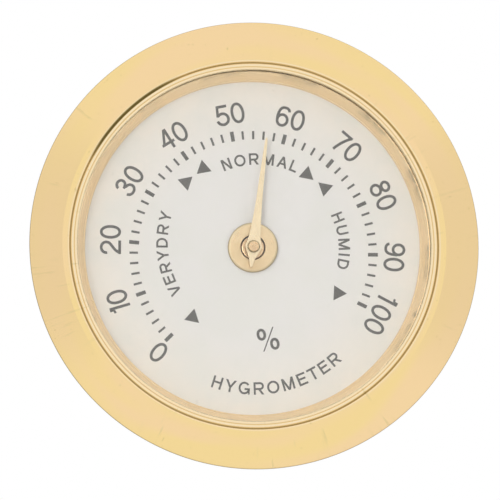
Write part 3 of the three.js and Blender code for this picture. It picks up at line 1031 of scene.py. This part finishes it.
def make_ticks():
    shapes = []
    for i in range(TICK_COUNT):
        width, length = TICK_SIZE if i % TICKS_PER_NUMBER else NUMBER_TICK_SIZE
        tick = block(-width / 2, -length / 2, width / 2, length / 2)[0]
        shapes.append(on_dial(tick, SCALE_FROM + SCALE_SWEEP * i / (TICK_COUNT - 1), SCALE_R))
    return make_print("ticks", shapes)


def make_numbers():
    shapes = []
    for text, angle, radius, step, twist in NUMBERS:
        for i, mark in enumerate(text):
            width = NUMBER_WIDTHS.get(mark, NUMBER_WIDTH)
            shift = (i - (len(text) - 1) / 2) * step
            digit = digit_shapes(mark, width, NUMBER_HEIGHT, NUMBER_STROKE)
            for shape in centred(digit, width, NUMBER_HEIGHT, shift):
                shapes.append(on_dial(shape, angle, radius, twist))
    return make_print("numbers", shapes)


def make_word(text, height, first, last, r0, r1, r2, inward):
    """A word on a line whose radius follows a parabola through r0, r1 and r2."""
    advances = [LETTERS[mark][1] * height for mark in text]
    middles = sum(advances) - advances[0] / 2 - advances[-1] / 2
    full = abs(math.radians(last - first)) * (r0 + 4 * r1 + r2) / 6
    spacing = (full - middles) / (len(text) - 1)
    shapes = []
    travelled = 0.0
    for i, mark in enumerate(text):
        if i:
            travelled += (advances[i - 1] + advances[i]) / 2 + spacing
        t = travelled / full
        radius = r0 * (1 - t) * (1 - 2 * t) + 4 * r1 * t * (1 - t) + r2 * t * (2 * t - 1)
        climb = r0 * (4 * t - 3) + r1 * (4 - 8 * t) + r2 * (4 * t - 1)
        twist = math.degrees(math.atan2(climb, full)) * (1 if inward else -1)
        width = max(WORD_STROKE, LETTERS[mark][0] * height)
        letter = letter_shapes(mark, width, height, WORD_STROKE)
        for shape in centred(letter, width, height):
            shapes.append(on_dial(shape, first + (last - first) * t, radius, twist, inward))
    return make_print(text.lower(), shapes)


def make_arrows():
    shapes = []
    for angle, radius, tip in ARROWS:
        x, z = polar(angle, radius)
        corners = [polar(tip + 120 * k, ARROW_R) for k in range(3)]
        shapes.append([(x + dx, z + dz) for dx, dz in reversed(corners)])
    return make_print("arrows", shapes)


def make_percent():
    shapes = []
    rx, rz = [(size - PERCENT_STROKE) / 2 for size in PERCENT_OVAL]
    for cx, cz in PERCENT_OVALS:
        shapes += ribbon(oval(cx, cz, rx, rz, power=2.1), PERCENT_STROKE)
    shapes += slanted(*PERCENT_SLASH, PERCENT_SLASH_WIDTH)
    return make_print("percent", shapes)


# ---- Hub -----------------------------------------------------------------------------


def make_eyelet():
    """The eyelet, with its back end rolled out over the washer."""
    front, back, r = turned_size("hub_eyelet")
    dial_face = turned_size("dial")[0] - 0.02
    roll_from = turned_size("eyelet_washer")[1] + 0.05
    bore, neck, rolled = 1.25, 1.7, 2.2
    corners = [
        (bore, front, 0.04), (r - 0.2, front, 0.06), (r, front + 0.1, 0.07),
        (r, dial_face, 0.03), (neck, dial_face, 0.03), (neck, roll_from, 0.03),
        (rolled, roll_from, 0.06), (rolled, back, 0.1), (bore, back, 0.08),
    ]
    return turned_piece("hub_eyelet", corners, "case", "brass", HUB_STEPS, name="hub_eyelet_rolled")


def make_washer():
    corners = ring_corners("eyelet_washer", 1.75, 0.05, 0.05, 0.05, 0.05)
    name = "eyelet_washer_stamped"
    return turned_piece("eyelet_washer", corners, "case", "steel", HUB_STEPS, name=name)


def make_front_bearing():
    front, back, r = turned_size("front_bearing")
    nose = r - 0.03
    corners = [
        (SHAFT_BORE_R, front + 0.04, 0.03), (0.62, front, 0.05), (nose, front, 0.12),
        (nose, front + 0.55, 0), (r, front + 0.6, 0.02), (r, back, 0.06),
        (SHAFT_BORE_R, back, 0.06),
    ]
    return turned_piece("front_bearing", corners, "case", "pin_brass")


def make_staff():
    """The shaft: a thick pin through the pointer, with a dimple, and a thinner rod."""
    front, back, _ = turned_size("pointer_staff")
    pin, pin_back, rod = 0.6, 0.7, 0.4
    corners = [
        (0, front + 0.05, 0), (0.1, front + 0.05, 0.02), (0.17, front, 0.02),
        (0.49, front, 0.03), (pin, front + 0.14, 0.03), (pin, pin_back, 0.04),
        (rod, pin_back, 0.03), (rod, back - 0.1, 0.03), (0.3, back, 0.03), (0, back, 0),
    ]
    return turned_piece("pointer_staff", corners, "pointer", "pin_brass")


def make_pointer():
    """The blade: a diamond boss and a long taper, with bevelled edges."""
    low, high = extent("pointer")
    outline = POINTER_SIDE + [(-x, z) for x, z in reversed(POINTER_SIDE[1:-1])]
    shape = turned_shape(outline, POINTER_REST)
    hole = circle(0.62, steps=PIN_STEPS)
    obj = slab("pointer_blade", [shape], low.y, high.y, holes=[hole])
    bevel(obj, 0.05, 2, 40)
    shade(obj.data, 10)
    return finish_piece(obj, "pointer", "pointer_brass", "pointer")


# ---- Movement ------------------------------------------------------------------------


def stamped_piece(node, shapes, holes, body, edge):
    """A finished flat steel piece with bevelled edges that stands for one CAD node."""
    low, high = extent(node)
    obj = slab(node + "_stamped", shapes, low.y, high.y, holes=holes)
    bevel(obj, edge)
    return finish_piece(obj, body, "steel", node)


def paired_holes(radius, at):
    """A hole on each side of the shaft."""
    return [circle(radius, side * at, 0, TINY_STEPS) for side in (1, -1)]


def make_plate():
    r = turned_size("movement_plate")[2]
    low, high = extent("bridge_pillar_right")
    holes = [circle(DIAL_HOLE_R)] + paired_holes(PLATE_HOLE_R, (low.x + high.x) / 2)
    return stamped_piece("movement_plate", [circle(r, steps=HUB_STEPS)], holes, "case", 0.06)


def make_bridge():
    low, high = extent("rear_bridge")
    reach = (high.x - low.x) / 2
    shapes = [round_ended(-reach, reach, 1.7), circle(3.2, steps=DISC_STEPS)]
    holes = [circle(1.6)] + paired_holes(0.6, BRIDGE_SCREW_AT)
    return stamped_piece("rear_bridge", shapes, holes, "case", 0.07)


def make_arm():
    """A disc on the stud with a round-ended arm that hangs down to the coil's post."""
    half, post_at = 0.9, 6.95
    end = half + extent("adjuster_arm")[0].z
    strip = [(half, 0.0), (-half, 0.0)]
    steps = 24
    for k in range(steps + 1):
        turn = math.pi + math.pi * k / steps
        strip.append((half * math.cos(turn), end + half * math.sin(turn)))
    shapes = [strip, circle(2.5, steps=DISC_STEPS)]
    holes = [circle(1.55), circle(0.4, 0, -post_at, TINY_STEPS)]
    return stamped_piece("adjuster_arm", shapes, holes, "adjuster", 0.05)


def make_pillar(side):
    """A pillar that is riveted to the plate and has a screw hole in its back end."""
    node = "bridge_pillar_" + side
    low, high = extent(node)
    plate_back = turned_size("movement_plate")[1]
    foot, collar, waist, hole = 0.7, 1.3, 1.15, 0.55
    corners = [
        (0, low.y, 0), (foot, low.y, 0.08), (foot, plate_back + 0.05, 0),
        (collar, plate_back + 0.05, 0.08), (collar, plate_back + 1.3, 0.03),
        (waist, plate_back + 1.4, 0.05), (waist, high.y - 1.1, 0.05),
        (collar, high.y - 1.0, 0.03), (collar, high.y, 0.08), (hole, high.y, 0.04),
        (hole, high.y - 2.75, 0), (0, high.y - 2.9, 0),
    ]
    x = (low.x + high.x) / 2
    return turned_piece(node, corners, "case", "brass", TINY_STEPS, 4, x=x)


def slot_tool(width, reach, depth, back, x=0.0, turn=0.0):
    """What cuts a screwdriver's slot into the back of a head that is turned about x."""
    shape = turned_shape(block(-reach, -width / 2, reach, width / 2)[0], turn)
    return slab("slot_tool", [[(px + x, pz) for px, pz in shape]], back - depth, back + 0.5)


def make_screw(side, turn):
    node = "bridge_screw_" + side
    low, high = extent(node)
    shank, head, head_from = 0.5, 1.1, high.y - 0.7
    corners = [
        (0, low.y, 0), (0.35, low.y, 0.03), (shank, low.y + 0.15, 0.03),
        (shank, head_from, 0.02), (head, head_from, 0.04), (head, high.y - 0.14, 0.1),
        (0.86, high.y, 0.12), (0, high.y, 0),
    ]
    x = (low.x + high.x) / 2
    tools = [slot_tool(0.3, 1.6, 0.32, high.y, x, turn)]
    return turned_piece(node, corners, "case", "steel", PIN_STEPS, 5, tools=tools, x=x)


def make_stud():
    """The slotted stud, with a collar and a blind bore for the rear bearing."""
    front, back, _ = turned_size("adjuster_stud")
    collar_from = turned_size("friction_washer")[1] + 0.05
    collar_to = collar_from + 0.6
    bore, bore_end, neck, collar, head = 0.9, 8.6, 1.5, 2.5, 2.2
    corners = [
        (0, bore_end, 0), (bore, bore_end, 0.02), (bore, front, 0.03), (neck, front, 0.08),
        (neck, collar_from, 0.02), (collar, collar_from, 0.06), (collar, collar_to, 0.1),
        (head, collar_to, 0.03), (head, back, 0.16), (0, back, 0),
    ]
    tools = [slot_tool(0.5, 3.2, 0.6, back)]
    return turned_piece("adjuster_stud", corners, "adjuster", "brass", arc=5, tools=tools)


def make_friction_washer():
    """A sprung washer with three low waves, inside the height of its CAD ring."""
    front, back, r = turned_size("friction_washer")
    bore, thick, waves, steps = 1.56, 0.09, 3, DISC_STEPS
    spare = (back - front - thick) / 2
    verts, faces = [], []
    rings = [(bore, -1), (r, -1), (r, 1), (bore, 1)]
    for radius, side in rings:
        for k in range(steps):
            x, z = polar(360 * k / steps, radius)
            rise = spare * math.cos(waves * 2 * math.pi * k / steps)
            verts.append((x, (front + back) / 2 + rise + side * thick / 2, z))
    for i in range(len(rings)):
        here, other = i * steps, (i + 1) % len(rings) * steps
        for k in range(steps):
            m = (k + 1) % steps
            faces.append([here + k, here + m, other + m, other + k])
    obj = object_from("friction_washer_sprung", verts, faces)
    bevel(obj, 0.02, 2, 50)
    return finish_piece(obj, "adjuster", "steel", "friction_washer")


def make_rear_bearing():
    corners = ring_corners("rear_bearing", SHAFT_BORE_R, 0.05, 0.05, 0.05, 0.05)
    return turned_piece("rear_bearing", corners, "adjuster", "pin_brass", PIN_STEPS, 4)


def make_post():
    low, high = extent("coil_post")
    z = (low.z + high.z) / 2
    corners = [(0, low.y, 0), (0.35, low.y, 0.08), (0.35, high.y, 0.06), (0, high.y, 0)]
    return turned_piece("coil_post", corners, "adjuster", "brass", TINY_STEPS, 5, z=z)


def make_collet():
    front, back, r = turned_size("coil_collet")
    middle = (front + back) / 2
    waist = r - 0.12
    corners = [
        (SHAFT_BORE_R, front, 0.05), (r, front, 0.1), (r, middle - 0.35, 0.02),
        (waist, middle - 0.25, 0.04), (waist, middle + 0.25, 0.04),
        (r, middle + 0.35, 0.02), (r, back, 0.1), (SHAFT_BORE_R, back, 0.05),
    ]
    return turned_piece("coil_collet", corners, "pointer", "brass", arc=5)


def coil_radius(i, steps):
    """The strip's radius at a step, with its inner end bent in to the collet and its outer
    end out to the post."""
    radius = COIL_INNER_R + (COIL_OUTER_R - COIL_INNER_R) * i / steps
    tuck = max(0.0, 1 - i / 9)
    lift = max(0.0, 1 - (steps - i) / 8)
    return radius - 0.15 * tuck * tuck + 0.06 * lift * lift


def make_coil():
    """The wound strip. It is bronze inside and has a dark layer outside that swells in damp air."""
    low, high = extent("humidity_coil")
    steps = COIL_TURNS * COIL_STEPS_PER_TURN
    half = COIL_STRIP_THICK / 2
    edge = 0.03
    side = [(-half, edge), (-half + edge, 0), (half - edge, 0), (half, edge)]
    section = [(across, low.y + y) for across, y in side]
    section += [(across, high.y - y) for across, y in reversed(side)]
    size = len(section)
    verts, faces = [], []
    for i in range(steps + 1):
        angle = 180 - (1 - i / steps) * COIL_TURNS * 360
        radius = coil_radius(i, steps)
        for across, y in section:
            x, z = polar(angle, radius + across)
            verts.append((x, y, z))
    for i in range(steps):
        here, other = i * size, (i + 1) * size
        for j in range(size):
            n = (j + 1) % size
            faces.append([here + j, here + n, other + n, other + j])
    faces.append(list(range(size)))
    faces.append([steps * size + j for j in reversed(range(size))])
    obj = object_from("humidity_coil_wound", verts, faces, 40)
    obj.data.materials.append(MATERIALS["coil_strip"])
    obj.data.materials.append(COIL_LAYER)
    for polygon in obj.data.polygons:
        outward = Vector((polygon.center.x, 0, polygon.center.z)).normalized()
        if polygon.normal.dot(outward) > 0.9:
            polygon.material_index = 1
    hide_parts("humidity_coil")
    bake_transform(obj)
    return obj


# ---- Rear case -----------------------------------------------------------------------


def make_case():
    """The cup, with a waist line round its side, a ring pressed into its back, a sunk rim
    round the screwdriver's hole, and vents."""
    front, back, r = turned_size("rear_case")
    bore, inner, inside = 2.6, r - 0.4, back - 0.5
    waist, pressed, sunk = r - 0.12, back - 0.12, back - 0.15
    corners = [
        (bore, inside, 0.05), (inner, inside, 0.45), (inner, front, 0.1), (r, front, 0.1),
        (r, front + 3.0, 0.04), (waist, front + 3.12, 0.06), (waist, front + 3.55, 0.06),
        (r, front + 3.67, 0.04), (r, back, 0.8), (15.1, back, 0.05), (14.95, pressed, 0.05),
        (14.45, pressed, 0.05), (14.3, back, 0.05), (4.3, back, 0.1), (4.0, sunk, 0.1),
        (bore, sunk, 0.1),
    ]
    bar = round_ended(VENT_FROM, VENT_TO, VENT_WIDTH / 2)
    vents = [turned_shape(bar, (i + 0.5) * 360 / VENT_COUNT) for i in range(VENT_COUNT)]
    tools = [slab("vent_tool", [vent], inside - 0.6, back + 0.6) for vent in vents]
    name = "rear_case_drawn"
    obj = turned_piece("rear_case", corners, "case", "gold_satin", ROUND_STEPS, 6, name, tools)
    obj.data.materials[0] = CASE_GOLD
    return obj


# ---- Stage ---------------------------------------------------------------------------


def make_floor():
    """A pale round floor with a soft edge, far enough below to stay out of the picture."""
    drop_m = CAD_BOX[0].z - FLOOR_DROP_M
    rim, thick = FLOOR_RADIUS_M / MM, 20
    profile = rounded([(0, -thick, 0), (rim, -thick, 8), (rim, 0, 8), (0, 0, 0)], 4, 5)
    obj = lathe("floor", profile, 128)
    level = Matrix.Rotation(math.radians(90), 4, "X")
    obj.matrix_world = Matrix.Translation((0, 0, drop_m)) @ level
    m = Surface("floor_paper")
    grain = m.noise(m.place, 0.05, 4.0)
    tone = m.blend(m.vary(grain, 0.0, 1.0), rgb(0.80, 0.795, 0.785), rgb(0.76, 0.755, 0.745))
    obj.data.materials.append(m.set(color=tone, rough=0.85, normal=m.bump(grain, 0.2)))
    obj.visible_glossy = False
    obj.visible_diffuse = False
    return obj


def make_camera():
    a, e = math.radians(CAMERA_AZIMUTH), math.radians(CAMERA_ELEVATION)
    back = Vector((math.sin(a) * math.cos(e), -math.cos(a) * math.cos(e), math.sin(e)))
    right = Vector((math.cos(a), math.sin(a), 0))
    up = back.cross(right)
    face = Vector((0, turned_size("bezel")[0] * MM, 0))
    aim = face - right * AIM_RIGHT * MM - up * AIM_UP * MM
    data = bpy.data.cameras.new("camera")
    data.sensor_width = CAMERA_SENSOR
    data.lens = CAMERA_SENSOR * CAMERA_DISTANCE_M / (FRAME_WIDTH * MM)
    data.clip_start = 0.01
    data.clip_end = 20
    camera = new_object("camera", data)
    rotation = Matrix((right, up, back)).transposed().to_4x4()
    camera.matrix_world = Matrix.Translation(aim + back * CAMERA_DISTANCE_M) @ rotation
    bpy.context.scene.camera = camera


def make_light(name, place, size, watts):
    """A round soft light that looks at the dial and isn't mirrored by the metal."""
    data = bpy.data.lights.new(name, "AREA")
    data.shape = "DISK"
    data.size = size
    data.energy = watts
    light = new_object(name, data)
    light.location = place
    light.rotation_mode = "QUATERNION"
    light.rotation_quaternion = (-Vector(place)).to_track_quat("-Z", "Y")
    light.visible_glossy = False


def make_world():
    """A white studio: bright in front of the dial and greyer towards the back. What lights
    the matt surfaces comes more from the front than what the metal mirrors."""
    world = bpy.data.worlds.new("studio")
    bpy.context.scene.world = world
    world.use_nodes = True
    n = Nodes(world.node_tree)
    looks = n.add("ShaderNodeTexCoord").outputs["Generated"]
    ray = n.add("ShaderNodeLightPath").outputs

    def toward(direction, low, high):
        """0 to 1 as a ray's direction comes round to another, between two cosines."""
        node = n.add("ShaderNodeVectorMath", operation="DOT_PRODUCT")
        n.put(node.inputs[0], looks)
        n.put(node.inputs[1], Vector(direction).normalized())
        return n.spread(node.outputs["Value"], low, high, 0.0, 1.0, "LINEAR")

    def tones(stops):
        ramp = n.add("ShaderNodeValToRGB")
        ramp.color_ramp.interpolation = "EASE"
        while len(ramp.color_ramp.elements) < len(stops):
            ramp.color_ramp.elements.new(0.5)
        for element, (position, value) in zip(ramp.color_ramp.elements, stops):
            element.position = position
            element.color = (value, value, value * 0.985, 1)
        return n.fill(ramp, toward(FLANGE_GLANCE, -1.0, 1.0))

    mirrored = tones([(0.0, 0.3), (0.25, 0.45), (0.5, 0.85), (0.75, 0.98), (0.97, 1.0)])
    mirrored = n.blend(toward(DARK_PANEL, 0.9935, 0.998), mirrored, rgb(0.10, 0.07, 0.04))
    lighting = tones([(0.0, 0.25), (0.3, 0.25), (0.5, 0.3), (0.75, 0.55), (0.97, 0.9)])
    color = n.blend(ray["Is Diffuse Ray"], mirrored, lighting)
    color = n.blend(ray["Is Camera Ray"], color, rgb(1, 1, 1))
    background = n.fill(n.add("ShaderNodeBackground"), color)
    n.put(n.add("ShaderNodeOutputWorld").inputs[0], background)


# ---- Build ---------------------------------------------------------------------------

make_bezel()
make_lens()
make_inner_ring()
make_spacer()
make_dial()
make_ticks()
make_numbers()
for word in WORDS:
    make_word(*word)
make_arrows()
make_percent()

make_eyelet()
make_washer()
make_front_bearing()
make_staff()
make_pointer()

make_plate()
make_pillar("left")
make_pillar("right")
make_bridge()
make_screw("left", 25)
make_screw("right", -40)
make_stud()
make_friction_washer()
make_rear_bearing()
make_arm()
make_post()
make_collet()
make_coil()
make_case()

make_floor()
make_world()
for light in LIGHTS:
    make_light(*light)
make_camera()
bpy.context.scene.view_settings.view_transform = "Standard"
